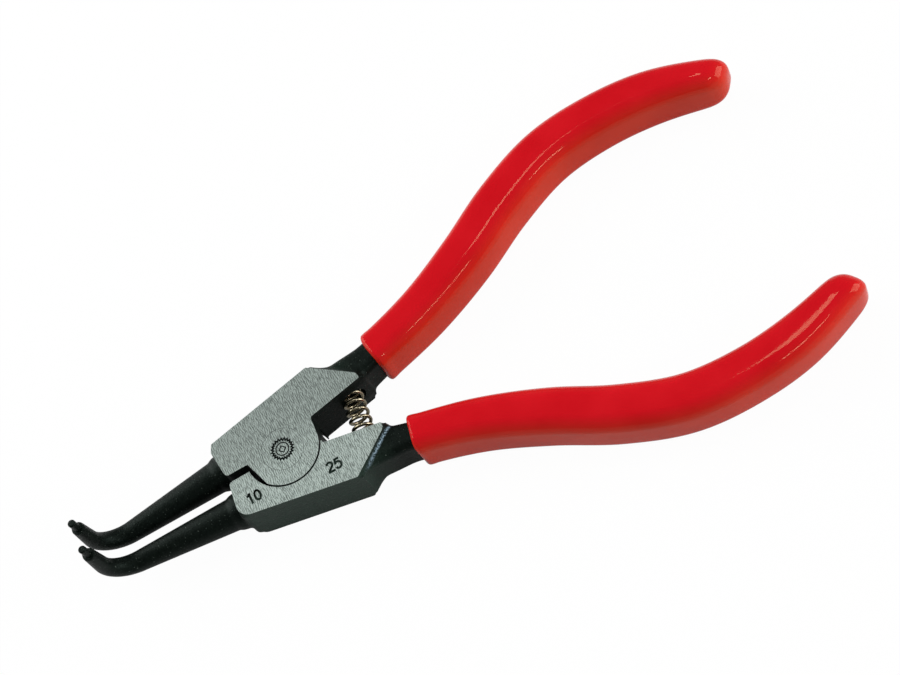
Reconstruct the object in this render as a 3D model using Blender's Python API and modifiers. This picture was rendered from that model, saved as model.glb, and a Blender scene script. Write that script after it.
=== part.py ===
"""Bent-nose external circlip pliers for 10 to 25 mm shafts.

Two forged levers are lapped at the joint and turn on a flush rivet. A coil spring between their
inner walls opens the handles, and each handle has a dipped sleeve. The jaws don't cross, so
squeezing the handles spreads the tips.

Metres, +Z up. The origin is on the pivot axis, in the plane of the joint's ground underside.
+X runs to the handles along the middle line, +Y to the upper lever, and the tips bend up to +Z.
"""

import math

import bmesh
import bpy
from mathutils import Matrix, Vector

# Joint block, seen from +Z on the upper lever. The ground faces are a little smaller than the forging
# between them: it stands out round the rear end by the spread, and has a tighter front corner.
JOINT_THICKNESS = 0.0089
BLOCK_FRONT_X = -0.0109
BLOCK_FRONT_Y = 0.007
BLOCK_REAR_X = 0.009
BLOCK_REAR_Y = 0.01095
REAR_CORNER_X = 0.016
REAR_CORNER_Y = 0.00555
REAR_CORNER_RADIUS = 0.0012
REAR_TIP_X = 0.0162
REAR_TIP_Y = 0.0045
REAR_SPREAD = 0.0005
INNER_WALL_X = 0.0063
INNER_WALL_Y = 0.00255
FRONT_CHAMFER = 0.0013
FRONT_CORNER_RADIUS = 0.0009
FRONT_FACE_RADIUS = 0.0022
FRONT_LEAN = 0.0007
SHOULDER_GAP = 0.0013

# Lap joint
LOBE_RADIUS = 0.00615
LOBE_FLANK_X = 0.0062
LOBE_FLANK_END = 222.0
LOBE_REAR_END = 350.5
RECESS_CLEARANCE = 0.0003
RECESS_FRONT_ANGLE = 185.0
RECESS_LIP_ANGLE = 18.7
LAP_GAP = 0.0002

# Rivet, flush on both faces
RIVET_SHANK_DIAMETER = 0.005
RIVET_HEAD_DIAMETER = 0.0072
RIVET_HEAD_RIM = 0.0004
RIVET_CONE_HEIGHT = 0.0009
RIVET_CLEARANCE = 0.00012

# Return spring and its pockets
SPRING_X = 0.0128
SPRING_CANT = 0.0006
SPRING_DIAMETER = 0.0039
SPRING_WIRE = 0.0006
SPRING_PITCH = 0.00153
SPRING_CLOSED_RISE = 0.00066
SPRING_START_ANGLE = 70.0
SPRING_END_GAP = 0.0003
POCKET_CLEARANCE = 0.0003
POCKET_DEPTH = 0.0024

# Jaws and tips
JAW_ROOT_DIAMETER = 0.0055
JAW_ROOT_Y = 0.0038
JAW_ROOT_FLARE = 0.0004
JAW_FLARE_LENGTH = 0.0012
JAW_ROOT_BURY = 0.003
JAW_BEND_X = -0.029
JAW_BEND_Y = 0.0027
JAW_BEND_DIAMETER = 0.00355
JAW_BEND_RADIUS = 0.0052
TIP_SPACING = 0.005
SHANK_HEIGHT = 0.0053
SHANK_TOP_DIAMETER = 0.0022
PIN_DIAMETER = 0.0013
PIN_LENGTH = 0.0025
PIN_CHAMFER = 0.0002
PIN_SHOULDER = 0.00005

# Handles: the forged bar from the block's inside to the sleeve's end, and how far its middle bows out
HANDLE_END_X = 0.0924
HANDLE_BOW_Y = 0.02665
HANDLE_HEIGHT = 0.0073
HANDLE_CORNER_RADIUS = 0.0014
# The neck's centre line with its half-width: x, y, half-width
NECK_LINE = (
    (0.0095, 0.0070, 0.0027),
    (0.0145, 0.0073, 0.0028),
    (0.0190, 0.0082, 0.0024),
)
# The bow behind it: share of the way to the end, share of the way out to the bow, half-width
BOW_LINE = (
    (0.149, 0.179, 0.0026),
    (0.285, 0.428, 0.0029),
    (0.420, 0.732, 0.0030),
    (0.556, 0.948, 0.00295),
    (0.693, 1.000, 0.0028),
    (0.829, 0.943, 0.0026),
    (1.000, 0.745, 0.0020),
)

# Dipped sleeves
GRIP_WALL = 0.00085
GRIP_FIT = 0.0002
GRIP_MOUTH_X = 0.0193
GRIP_MOUTH_SLANT = 7.5
GRIP_END_WALL = 0.0012
GRIP_END_ROUNDING = 0.0043
GRIP_END_FALL = 0.0065
GRIP_END_BLUNTNESS = 2.5
GRIP_END_SLANT = 20.0
GRIP_END_TURN = 0.0146

# Fineness of the curved surfaces
ROUND_STEPS = 40
ARC_STEP_DEGREES = 9.0
CORNER_STEPS = 4
LINE_STEPS = 12
STATION_SPACING = 0.0042
END_STATIONS = 6
BEND_STEPS = 7
COIL_STEPS = 14
JAW_STEPS = 3
JAW_BEVEL_RESOLUTION = 6
WIRE_BEVEL_RESOLUTION = 2

# Worked out from the sizes above
MIDDLE = JOINT_THICKNESS / 2
SHOULDER_Y = SHOULDER_GAP / 2
FACE_DEPTH = (JOINT_THICKNESS - HANDLE_HEIGHT) / 2
RECESS_RADIUS = LOBE_RADIUS + RECESS_CLEARANCE
OUTSIDE = 2 * JOINT_THICKNESS
WELD = 1e-6
SHARP_ANGLE = 32.0
END_CLOSING_ANGLE = 84.0


def clear_scene():
    for obj in list(bpy.data.objects):
        bpy.data.objects.remove(obj, do_unlink=True)


def new_collection(name):
    collection = bpy.data.collections.new(name)
    bpy.context.scene.collection.children.link(collection)
    return collection


def material(name, colour, roughness, metallic):
    made = bpy.data.materials.new(name)
    made.use_nodes = True
    shader = made.node_tree.nodes["Principled BSDF"]
    shader.inputs["Base Color"].default_value = (*colour, 1.0)
    shader.inputs["Roughness"].default_value = roughness
    shader.inputs["Metallic"].default_value = metallic
    return made


def add_object(name, mesh, collection, finish=None):
    obj = bpy.data.objects.new(name, mesh)
    collection.objects.link(obj)
    if finish:
        mesh.materials.append(finish)
    mesh.shade_smooth()
    mesh.set_sharp_from_angle(angle=math.radians(SHARP_ANGLE))
    return obj


def as_helper(obj):
    obj.hide_render = True
    obj.display_type = "WIRE"
    return obj


def combine(obj, operation, helper):
    modifier = obj.modifiers.new(f"{operation.lower()}_{helper.name}", "BOOLEAN")
    modifier.operation = operation
    modifier.solver = "EXACT"
    modifier.object = helper


def mesh_of_curve(obj):
    """The curve's mesh in world space, with its caps welded to its sides. The curve is removed."""
    bpy.context.view_layer.update()
    graph = bpy.context.evaluated_depsgraph_get()
    mesh = bpy.data.meshes.new_from_object(obj.evaluated_get(graph))
    mesh.transform(obj.matrix_world)
    bm = bmesh.new()
    bm.from_mesh(mesh)
    bmesh.ops.remove_doubles(bm, verts=bm.verts, dist=WELD)
    bmesh.ops.recalc_face_normals(bm, faces=bm.faces)
    bm.to_mesh(mesh)
    bm.free()
    bpy.data.objects.remove(obj, do_unlink=True)
    return mesh


def prism(name, outline, low, high):
    """A flat outline from one height to another."""
    curve = bpy.data.curves.new(name, "CURVE")
    curve.dimensions = "2D"
    curve.fill_mode = "BOTH"
    curve.extrude = (high - low) / 2
    spline = curve.splines.new("POLY")
    spline.points.add(len(outline) - 1)
    for point, (x, y) in zip(spline.points, outline):
        point.co = (x, y, 0, 1)
    spline.use_cyclic_u = True
    obj = bpy.data.objects.new(name, curve)
    obj.location.z = (low + high) / 2
    bpy.context.scene.collection.objects.link(obj)
    return mesh_of_curve(obj)


def wire(name, points, radii, bevel_resolution):
    """A round bar along the points, with its own radius at each."""
    curve = bpy.data.curves.new(name, "CURVE")
    curve.dimensions = "3D"
    curve.bevel_depth = 1.0
    curve.bevel_resolution = bevel_resolution
    curve.use_fill_caps = True
    spline = curve.splines.new("POLY")
    spline.points.add(len(points) - 1)
    for point, place, radius in zip(spline.points, points, radii):
        point.co = (*place, 1)
        point.radius = radius
    obj = bpy.data.objects.new(name, curve)
    bpy.context.scene.collection.objects.link(obj)
    return mesh_of_curve(obj)


def turned(name, profile):
    """A profile of (radius, height) points, outer side top to bottom, turned about Z."""
    mesh = bpy.data.meshes.new(name)
    edges = [(i, i + 1) for i in range(len(profile) - 1)]
    mesh.from_pydata([(radius, 0, height) for radius, height in profile], edges, [])
    obj = bpy.data.objects.new(name, mesh)
    screw = obj.modifiers.new("turn", "SCREW")
    screw.steps = ROUND_STEPS
    screw.render_steps = ROUND_STEPS
    screw.use_merge_vertices = True
    screw.merge_threshold = WELD
    return obj


def arc(radius, start, end):
    """Points about the pivot from one angle to the other, in degrees."""
    steps = max(2, math.ceil(abs(end - start) / ARC_STEP_DEGREES))
    angles = [math.radians(start + (end - start) * i / steps) for i in range(steps + 1)]
    return [(radius * math.cos(a), radius * math.sin(a)) for a in angles]


def rounded_corner(before, corner, after, radius):
    """The points of a fillet where two straight edges meet."""
    corner = Vector(corner)
    to_before = (Vector(before) - corner).normalized()
    to_after = (Vector(after) - corner).normalized()
    half = to_before.angle(to_after) / 2
    centre = corner + (to_before + to_after).normalized() * radius / math.sin(half)
    first = corner + to_before * radius / math.tan(half) - centre
    last = corner + to_after * radius / math.tan(half) - centre
    sweep = first.angle_signed(last)
    points = []
    for i in range(CORNER_STEPS + 1):
        turn = Matrix.Rotation(-sweep * i / CORNER_STEPS, 2)
        points.append(tuple(centre + turn @ first))
    return points


def line_beside(start, end, distance):
    """The line through two points, moved to its right, as a point and a direction."""
    along = (Vector(end) - Vector(start)).normalized()
    return Vector(start) + Vector((along.y, -along.x)) * distance, along


def crossing(first, second):
    """Where two lines meet in plan."""
    (a, along_a), (b, along_b) = first, second
    gap = b - a
    reach = (gap.x * along_b.y - gap.y * along_b.x) / (along_a.x * along_b.y - along_a.y * along_b.x)
    return tuple(a + along_a * reach)


def inner_wall_y(x):
    """The inner wall behind the joint, a straight line in plan."""
    slope = (REAR_TIP_Y - INNER_WALL_Y) / (REAR_TIP_X - INNER_WALL_X)
    return INNER_WALL_Y + slope * (x - INNER_WALL_X)


def plate_outline(rounded_front, spread, front_radius):
    """Block and lobe of the upper lever, anticlockwise from the shoulder.

    The spread moves the rear end out, and the radius is that of a rounded front corner.
    """
    flank = (-LOBE_FLANK_X, SHOULDER_Y)
    front_low = (BLOCK_FRONT_X + FRONT_LEAN, SHOULDER_Y)
    front_high = (BLOCK_FRONT_X, BLOCK_FRONT_Y)
    corner = (REAR_CORNER_X, REAR_CORNER_Y)
    wall_start = (INNER_WALL_X, INNER_WALL_Y)
    wall_end = (REAR_TIP_X, REAR_TIP_Y)
    wall = line_beside(wall_start, wall_end, 0.0)
    end_face = line_beside(wall_end, corner, spread)
    rear_edge = line_beside(corner, (BLOCK_REAR_X, BLOCK_REAR_Y), spread)
    outer_side = line_beside((BLOCK_REAR_X, BLOCK_REAR_Y), front_high, 0.0)
    tip = crossing(wall, end_face)
    heel = crossing(rear_edge, outer_side)
    rear = rounded_corner(tip, crossing(end_face, rear_edge), heel, REAR_CORNER_RADIUS)
    if rounded_front:
        nose = rounded_corner(heel, front_high, front_low, front_radius)
    else:
        run = outer_side[1] * FRONT_CHAMFER / 2
        nose = [
            (BLOCK_FRONT_X - run.x, BLOCK_FRONT_Y - run.y),
            (BLOCK_FRONT_X, BLOCK_FRONT_Y - FRONT_CHAMFER),
        ]
    toe = rounded_corner(nose[-1], front_low, flank, FRONT_LEAN)
    lobe = arc(LOBE_RADIUS, LOBE_FLANK_END, LOBE_REAR_END)
    return [flank, *lobe, wall_start, tip, *rear, heel, *nose, *toe]


def joint_plate(name, rounded_front):
    """The block with its lobe through the full thickness: ground faces, and the forging between them."""
    face = plate_outline(rounded_front, 0.0, FRONT_FACE_RADIUS)
    forging = plate_outline(rounded_front, REAR_SPREAD, FRONT_CORNER_RADIUS)
    levels = (
        (0.0, face),
        (FACE_DEPTH, forging),
        (JOINT_THICKNESS - FACE_DEPTH, forging),
        (JOINT_THICKNESS, face),
    )
    rings = [[Vector((x, y, z)) for x, y in outline] for z, outline in levels]
    return loft(name, rings, open_start=False)


def recess_outline():
    """What the other lever's lobe needs of this one's lower half."""
    swept = arc(RECESS_RADIUS, RECESS_FRONT_ANGLE, RECESS_LIP_ANGLE)
    right = RECESS_RADIUS + SHOULDER_GAP
    return [
        *swept,
        (right, swept[-1][1]),
        (right, -right),
        (swept[0][0], -right),
    ]


def rivet_profile(clearance, reach):
    """Half of the rivet's section, outer side top to bottom, grown by a clearance."""
    head = RIVET_HEAD_DIAMETER / 2 + clearance
    shank = RIVET_SHANK_DIAMETER / 2 + clearance
    top = JOINT_THICKNESS + reach
    rim = RIVET_HEAD_RIM
    cone = rim + RIVET_CONE_HEIGHT
    return [
        (0, top),
        (head, top),
        (head, JOINT_THICKNESS - rim),
        (shank, JOINT_THICKNESS - cone),
        (shank, cone),
        (head, rim),
        (head, -reach),
        (0, -reach),
    ]


def handle_knots():
    """The (x, y, half-width) stations of the whole handle, from inside the block to the sleeve's end."""
    neck_x, neck_y = NECK_LINE[-1][:2]
    bow = [
        (neck_x + (HANDLE_END_X - neck_x) * along, neck_y + (HANDLE_BOW_Y - neck_y) * out, half_width)
        for along, out, half_width in BOW_LINE
    ]
    return [Vector(row) for row in (*NECK_LINE, *bow)]


def handle_curve():
    """Dense (x, y, half-width) points along the handle, and their distances along it."""
    knots = handle_knots()
    times = [0.0]
    for a, b in zip(knots, knots[1:]):
        times.append(times[-1] + (b - a).length)
    last = len(knots) - 1
    slopes = []
    for i in range(len(knots)):
        low, high = max(i - 1, 0), min(i + 1, last)
        slopes.append((knots[high] - knots[low]) / (times[high] - times[low]))
    dense = []
    for i in range(last):
        span = times[i + 1] - times[i]
        for j in range(LINE_STEPS + (i == last - 1)):
            t = j / LINE_STEPS
            dense.append(
                knots[i] * (2 * t**3 - 3 * t**2 + 1)
                + slopes[i] * span * (t**3 - 2 * t**2 + t)
                + knots[i + 1] * (3 * t**2 - 2 * t**3)
                + slopes[i + 1] * span * (t**3 - t**2)
            )
    along = [0.0]
    for a, b in zip(dense, dense[1:]):
        along.append(along[-1] + (b.xy - a.xy).length)
    return dense, along


def distance_at_x(x):
    """How far along the handle its centre line reaches this x."""
    dense, along = handle_curve()
    for i in range(len(dense) - 1):
        if dense[i + 1].x >= x:
            part = (x - dense[i].x) / (dense[i + 1].x - dense[i].x)
            return along[i] + part * (along[i + 1] - along[i])
    return along[-1]


def section(half_width, half_height, corner):
    """A rounded rectangle, as (across, up) points."""
    corner = min(corner, half_width - WELD, half_height - WELD)
    points = []
    for quarter in range(4):
        sign_across = (1, -1, -1, 1)[quarter]
        sign_up = (1, 1, -1, -1)[quarter]
        for i in range(CORNER_STEPS + 1):
            a = math.radians(90 * (quarter + i / CORNER_STEPS))
            across = sign_across * (half_width - corner) + corner * math.cos(a)
            up = sign_up * (half_height - corner) + corner * math.sin(a)
            points.append((across, up))
    return points


def drawn_in(to_end, reach):
    """The share of a section's size that is left this far before the handle's rounded end."""
    short = max(0.0, 1 - to_end / reach)
    return (1 - short**GRIP_END_BLUNTNESS) ** (1 / GRIP_END_BLUNTNESS)


def handle_rings(start, end, grow, slant=0.0):
    """Sections square to the handle's centre line, drawn in over the rounded end.

    The first is turned by the slant, in degrees, towards square to X, and so are the last ones, step
    by step, which makes the outer corner of the end stand out.
    """
    dense, along = handle_curve()
    rounding = GRIP_END_ROUNDING - GRIP_WALL - GRIP_FIT + grow
    fall = GRIP_END_FALL - GRIP_WALL - GRIP_FIT + grow
    body_end = end - max(rounding, fall)
    count = max(3, round((body_end - start) / STATION_SPACING))
    stations = [start + (body_end - start) * i / count for i in range(count + 1)]
    for i in range(1, END_STATIONS + 1):
        a = math.radians(END_CLOSING_ANGLE * i / END_STATIONS)
        stations.append(body_end + (end - body_end) * math.sin(a))
    rings = []
    index = 0
    for distance in stations:
        while index < len(along) - 2 and along[index + 1] < distance:
            index += 1
        part = (distance - along[index]) / (along[index + 1] - along[index])
        place = dense[index].lerp(dense[index + 1], part)
        ahead = (dense[index + 1].xy - dense[index].xy).normalized()
        side = Vector((-ahead.y, ahead.x))
        turn = GRIP_END_SLANT * max(0.0, 1 - (end - distance) / GRIP_END_TURN)
        if not rings:
            turn = slant
        side = Matrix.Rotation(-math.radians(turn), 2) @ side
        half_width = (place.z + grow) * drawn_in(end - distance, rounding)
        half_height = (HANDLE_HEIGHT / 2 + grow) * drawn_in(end - distance, fall)
        corner = (HANDLE_CORNER_RADIUS + grow) * drawn_in(end - distance, fall)
        ring = []
        for across, up in section(half_width, half_height, corner):
            point = place.xy + side * across
            ring.append(Vector((point.x, point.y, MIDDLE + up)))
        rings.append(ring)
    return rings


def loft(name, rings, open_start):
    """A skin over the rings, which all have as many points."""
    bm = bmesh.new()
    rows = [[bm.verts.new(point) for point in ring] for ring in rings]
    count = len(rows[0])
    for near, far in zip(rows, rows[1:]):
        for i in range(count):
            j = (i + 1) % count
            bm.faces.new((near[i], near[j], far[j], far[i]))
    if not open_start:
        bm.faces.new(rows[0])
    bm.faces.new(rows[-1])
    bmesh.ops.recalc_face_normals(bm, faces=bm.faces)
    mesh = bpy.data.meshes.new(name)
    bm.to_mesh(mesh)
    bm.free()
    return mesh


def handle_core(name):
    start = distance_at_x(NECK_LINE[0][0])
    end = distance_at_x(HANDLE_END_X) - GRIP_END_WALL - GRIP_FIT
    return loft(name, handle_rings(start, end, 0.0), open_start=False)


def jaw_points(side):
    """The jaw's centre line and radii, from inside the block to the end of the pin."""
    tip_y = side * TIP_SPACING / 2
    bend_y = side * JAW_BEND_Y
    root = Vector((BLOCK_FRONT_X, side * JAW_ROOT_Y, MIDDLE))
    bend = Vector((JAW_BEND_X, bend_y, MIDDLE))
    root_radius = JAW_ROOT_DIAMETER / 2
    bend_radius = JAW_BEND_DIAMETER / 2
    shank_radius = SHANK_TOP_DIAMETER / 2
    buried = root - Vector((-JAW_ROOT_BURY, 0, 0))
    points = [buried, root]
    radii = [root_radius + JAW_ROOT_FLARE] * 2
    flare_part = JAW_FLARE_LENGTH / (bend - root).length
    for i in range(JAW_STEPS):
        part = flare_part + (1 - flare_part) * i / JAW_STEPS
        points.append(root.lerp(bend, part))
        radii.append(root_radius + (bend_radius - root_radius) * part)
    arc_length = JAW_BEND_RADIUS * math.pi / 2
    for i in range(BEND_STEPS + 1):
        a = math.pi / 2 * i / BEND_STEPS
        along = arc_length * i / BEND_STEPS / (arc_length + SHANK_HEIGHT)
        x = JAW_BEND_X - JAW_BEND_RADIUS * math.sin(a)
        z = MIDDLE + JAW_BEND_RADIUS * (1 - math.cos(a))
        y = bend_y + (tip_y - bend_y) * i / BEND_STEPS
        points.append(Vector((x, y, z)))
        radii.append(bend_radius + (shank_radius - bend_radius) * along)
    top = points[-1] + Vector((0, 0, SHANK_HEIGHT))
    up = Vector((0, 0, 1))
    pin = PIN_DIAMETER / 2
    for height, radius in (
        (-PIN_CHAMFER, shank_radius),
        (0, shank_radius - PIN_CHAMFER),
        (PIN_SHOULDER, pin),
        (PIN_LENGTH - PIN_CHAMFER, pin),
        (PIN_LENGTH, pin - PIN_CHAMFER),
    ):
        points.append(top + up * height)
        radii.append(radius)
    return points, radii


def spring_end(side):
    """Where the spring's axis crosses a lever's inner wall, as x and the distance from the middle line."""
    x = SPRING_X + side * SPRING_CANT
    return x, inner_wall_y(x)


def spring_pocket(name, side):
    """The blind hole in the inner wall that holds the spring's end, as on the upper lever."""
    radius = SPRING_DIAMETER / 2 + POCKET_CLEARANCE
    x, wall_y = spring_end(side)
    bottom = wall_y + POCKET_DEPTH
    mouth = wall_y - SPRING_DIAMETER
    bm = bmesh.new()
    bmesh.ops.create_cone(
        bm,
        cap_ends=True,
        segments=ROUND_STEPS // 2,
        radius1=radius,
        radius2=radius,
        depth=bottom - mouth,
    )
    turn = Matrix.Rotation(math.pi / 2, 4, "X")
    place = Matrix.Translation((x, (bottom + mouth) / 2, MIDDLE))
    bmesh.ops.transform(bm, matrix=place @ turn, verts=bm.verts)
    mesh = bpy.data.meshes.new(name)
    bm.to_mesh(mesh)
    bm.free()
    return mesh


def lever(name, side, finish, parts, helpers):
    """side is 1 for the upper lever and -1 for the lower, which is the same forging turned over.

    The jaws are the exception, because both tips bend up.
    """
    half_turn = Matrix.Translation((0, 0, MIDDLE)) @ Matrix.Rotation(math.pi, 4, "X")
    half_turn = half_turn @ Matrix.Translation((0, 0, -MIDDLE))
    place = Matrix.Identity(4) if side > 0 else half_turn

    plate = joint_plate(name, rounded_front=side < 0)
    recess = prism(f"{name}_recess", recess_outline(), -OUTSIDE, MIDDLE + LAP_GAP / 2)
    core = handle_core(f"{name}_core")
    pocket = spring_pocket(f"{name}_pocket", side)
    for mesh in (plate, recess, core, pocket):
        mesh.transform(place)
    points, radii = jaw_points(side)
    jaw = wire(f"{name}_jaw", points, radii, JAW_BEVEL_RESOLUTION)
    hole = turned(f"{name}_hole", rivet_profile(RIVET_CLEARANCE, OUTSIDE))
    helpers.objects.link(as_helper(hole))

    obj = add_object(name, plate, parts, finish)
    for operation, mesh in (("UNION", core), ("UNION", jaw), ("DIFFERENCE", recess), ("DIFFERENCE", pocket)):
        combine(obj, operation, as_helper(add_object(mesh.name, mesh, helpers)))
    combine(obj, "DIFFERENCE", hole)
    return obj


def rivet(name, finish, parts):
    obj = turned(name, rivet_profile(0.0, 0.0))
    parts.objects.link(obj)
    obj.data.materials.append(finish)
    return obj


def spring(name, finish, parts):
    """A compression spring between the pockets' floors, whose last turn at each end lies closed."""
    wire_radius = SPRING_WIRE / 2
    coil_radius = SPRING_DIAMETER / 2 - wire_radius
    clear = SPRING_END_GAP + wire_radius
    upper_x, upper_wall = spring_end(1)
    lower_x, lower_wall = spring_end(-1)
    low = -(lower_wall + POCKET_DEPTH - clear)
    high = upper_wall + POCKET_DEPTH - clear
    open_length = high - low - 2 * SPRING_CLOSED_RISE
    open_turns = open_length / SPRING_PITCH
    turns = open_turns + 2
    steps = round(turns * COIL_STEPS)
    points = []
    for i in range(steps + 1):
        turn = turns * i / steps
        if turn < 1:
            y = low + SPRING_CLOSED_RISE * turn
        elif turn > turns - 1:
            y = high - SPRING_CLOSED_RISE * (turns - turn)
        else:
            y = low + SPRING_CLOSED_RISE + SPRING_PITCH * (turn - 1)
        a = math.radians(SPRING_START_ANGLE) + 2 * math.pi * turn
        axis_x = lower_x + (upper_x - lower_x) * (y - low) / (high - low)
        x = axis_x + coil_radius * math.cos(a)
        z = MIDDLE + coil_radius * math.sin(a)
        points.append((x, y, z))
    mesh = wire(name, points, [wire_radius] * len(points), WIRE_BEVEL_RESOLUTION)
    return add_object(name, mesh, parts, finish)


def grip(name, side, finish, parts):
    """The dipped sleeve: the handle's form grown by fit and wall, as an open skin made solid inwards."""
    start = distance_at_x(GRIP_MOUTH_X)
    end = distance_at_x(HANDLE_END_X)
    grow = GRIP_FIT + GRIP_WALL
    rings = handle_rings(start, end, grow, GRIP_MOUTH_SLANT)
    mesh = loft(name, rings, open_start=True)
    if side < 0:
        half_turn = Matrix.Rotation(math.pi, 4, "X")
        mesh.transform(Matrix.Translation((0, 0, 2 * MIDDLE)) @ half_turn)
    obj = add_object(name, mesh, parts, finish)
    solid = obj.modifiers.new("wall", "SOLIDIFY")
    solid.thickness = GRIP_WALL
    solid.offset = -1.0
    solid.use_even_offset = True
    return obj


def build():
    clear_scene()
    parts = new_collection("circlip_pliers")
    helpers = new_collection("cutters")
    steel = material("blackened_steel", (0.018, 0.022, 0.021), 0.42, 0.85)
    rivet_steel = material("rivet_steel", (0.46, 0.48, 0.46), 0.38, 0.9)
    wire_steel = material("spring_wire", (0.20, 0.17, 0.11), 0.32, 1.0)
    red = material("red_sleeve", (0.60, 0.008, 0.012), 0.25, 0.0)
    lever("upper_lever", 1, steel, parts, helpers)
    lever("lower_lever", -1, steel.copy(), parts, helpers)
    rivet("pivot_rivet", rivet_steel, parts)
    spring("return_spring", wire_steel, parts)
    grip("upper_grip", 1, red, parts)
    grip("lower_grip", -1, red.copy(), parts)


build()
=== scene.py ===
"""The looks of the bent-nose external circlip pliers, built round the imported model's frame.

Metres, in the frame of the model: the origin is on the pivot axis in the plane of the ground
underside, +X runs to the handles, +Y to the upper lever, and both tips bend up to +Z.
"""

import itertools
import math

import bmesh
import bpy
import numpy as np
from mathutils import Euler, Matrix, Vector


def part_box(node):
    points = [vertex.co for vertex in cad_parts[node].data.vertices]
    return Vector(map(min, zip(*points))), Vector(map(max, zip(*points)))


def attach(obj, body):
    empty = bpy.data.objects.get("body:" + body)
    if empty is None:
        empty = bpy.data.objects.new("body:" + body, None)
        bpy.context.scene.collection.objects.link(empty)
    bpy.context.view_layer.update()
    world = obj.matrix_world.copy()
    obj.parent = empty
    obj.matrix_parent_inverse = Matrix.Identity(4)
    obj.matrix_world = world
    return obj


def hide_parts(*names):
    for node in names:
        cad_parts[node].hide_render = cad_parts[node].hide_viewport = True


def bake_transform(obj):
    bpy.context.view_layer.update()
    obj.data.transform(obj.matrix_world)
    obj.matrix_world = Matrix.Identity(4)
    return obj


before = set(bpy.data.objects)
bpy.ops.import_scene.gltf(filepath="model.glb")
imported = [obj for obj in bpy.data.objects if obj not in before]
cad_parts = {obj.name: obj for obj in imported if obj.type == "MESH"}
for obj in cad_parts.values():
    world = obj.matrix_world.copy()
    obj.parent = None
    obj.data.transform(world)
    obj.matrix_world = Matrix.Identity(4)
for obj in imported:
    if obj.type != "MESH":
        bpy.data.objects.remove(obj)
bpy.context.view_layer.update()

# Camera, fitted to the view of the photograph
CAMERA_PLACE = (0.05299, -0.17345, 0.33364)
CAMERA_TURN = (24.012, 16.061, -25.110)
CAMERA_ROLL = -0.13
CAMERA_LENS = 92.62
CAMERA_SENSOR = 36.0
CAMERA_CLIP_START = 0.01
CAMERA_SHIFT_PIXELS = (-0.8, 0.1)
IMAGE_WIDTH = 900

# Joint block of the upper lever: the ground faces, and the forging between them
JOINT_THICKNESS = 0.0089
BLOCK_FRONT_X = -0.0109
BLOCK_FRONT_Y = 0.007
BLOCK_REAR_X = 0.009
BLOCK_REAR_Y = 0.01095
REAR_CORNER_X = 0.016
REAR_CORNER_Y = 0.00555
REAR_CORNER_RADIUS = 0.0012
REAR_TIP_X = 0.0162
REAR_TIP_Y = 0.0045
REAR_SPREAD = 0.0005
INNER_WALL_X = 0.0063
INNER_WALL_Y = 0.00255
FRONT_CHAMFER = 0.0013
FRONT_CORNER_RADIUS = 0.0009
FRONT_FACE_RADIUS = 0.0022
FRONT_LEAN = 0.0007
SHOULDER_GAP = 0.0013
NECK_FILLET = 0.0011
JAW_FILLET = 0.0005

# The painted highlight along the foot of the lower plate's rear slope: where it lies behind the slope
# and how softly it ends, as shares of the fillet there, and where it fades out along X
FOOT_BAND = (0.2, 0.76)
FOOT_SOFTNESS = 0.3
FOOT_REACH = (0.0102, 0.0135)

# Lap joint
LOBE_RADIUS = 0.00615
LOBE_FLANK_X = 0.0062
LOBE_FLANK_END = 222.0
LOBE_REAR_END = 350.5
RECESS_CLEARANCE = 0.0003
RECESS_FRONT_ANGLE = 185.0
RECESS_LIP_ANGLE = 18.7
LAP_GAP = 0.0001

# Rivet
RIVET_SHANK_DIAMETER = 0.005
RIVET_HEAD_DIAMETER = 0.0072
RIVET_HEAD_RIM = 0.0004
RIVET_CONE_HEIGHT = 0.0009
RIVET_CLEARANCE = 0.00003
RIVET_EDGE = 0.00002

# Staking mark in the rivet's upper end: a square, a ring and a toothed ring round them
STAKE_DEPTH = 0.00016
STAKE_WIDTH = 0.0002
STAKE_SQUARE = 0.00085
STAKE_RING_RADIUS = 0.0011
STAKE_TEETH = 22
STAKE_TEETH_RADII = (0.00152, 0.00186)
STAKE_TEETH_WIDTH = 0.00028

# Shaft sizes stamped on the lower lever: text and the place of its middle
NUMBERS = (
    ("10", (-0.0074, -0.0050)),
    ("25", (0.0064, -0.0071)),
)
NUMBER_HEIGHT = 0.0020
NUMBER_SPACING = 0.00135
NUMBER_STROKE = 0.0004
NUMBER_DEPTH = 0.00018
NUMBER_STROKE_STEPS = 14

# Return spring and its pockets
SPRING_X = 0.0128
SPRING_CANT = 0.0006
SPRING_DIAMETER = 0.0039
SPRING_WIRE = 0.0006
SPRING_PITCH = 0.00153
SPRING_CLOSED_RISE = 0.00066
SPRING_START_ANGLE = 70.0
SPRING_END_GAP = 0.0003
SPRING_BEVEL = 4
POCKET_CLEARANCE = 0.0003
POCKET_DEPTH = 0.0024

# Jaws and tips
JAW_ROOT_DIAMETER = 0.0055
JAW_ROOT_Y = 0.0038
JAW_ROOT_FLARE = 0.0004
JAW_FLARE_LENGTH = 0.0012
JAW_ROOT_BURY = 0.003
JAW_BEND_X = -0.029
JAW_BEND_Y = 0.0027
JAW_BEND_DIAMETER = 0.00355
JAW_BEND_RADIUS = 0.0052
TIP_SPACING = 0.005
SHANK_HEIGHT = 0.0053
SHANK_TOP_DIAMETER = 0.0022
PIN_DIAMETER = 0.0013
PIN_LENGTH = 0.0025
PIN_CHAMFER = 0.0002
PIN_BURY = 0.001

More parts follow.
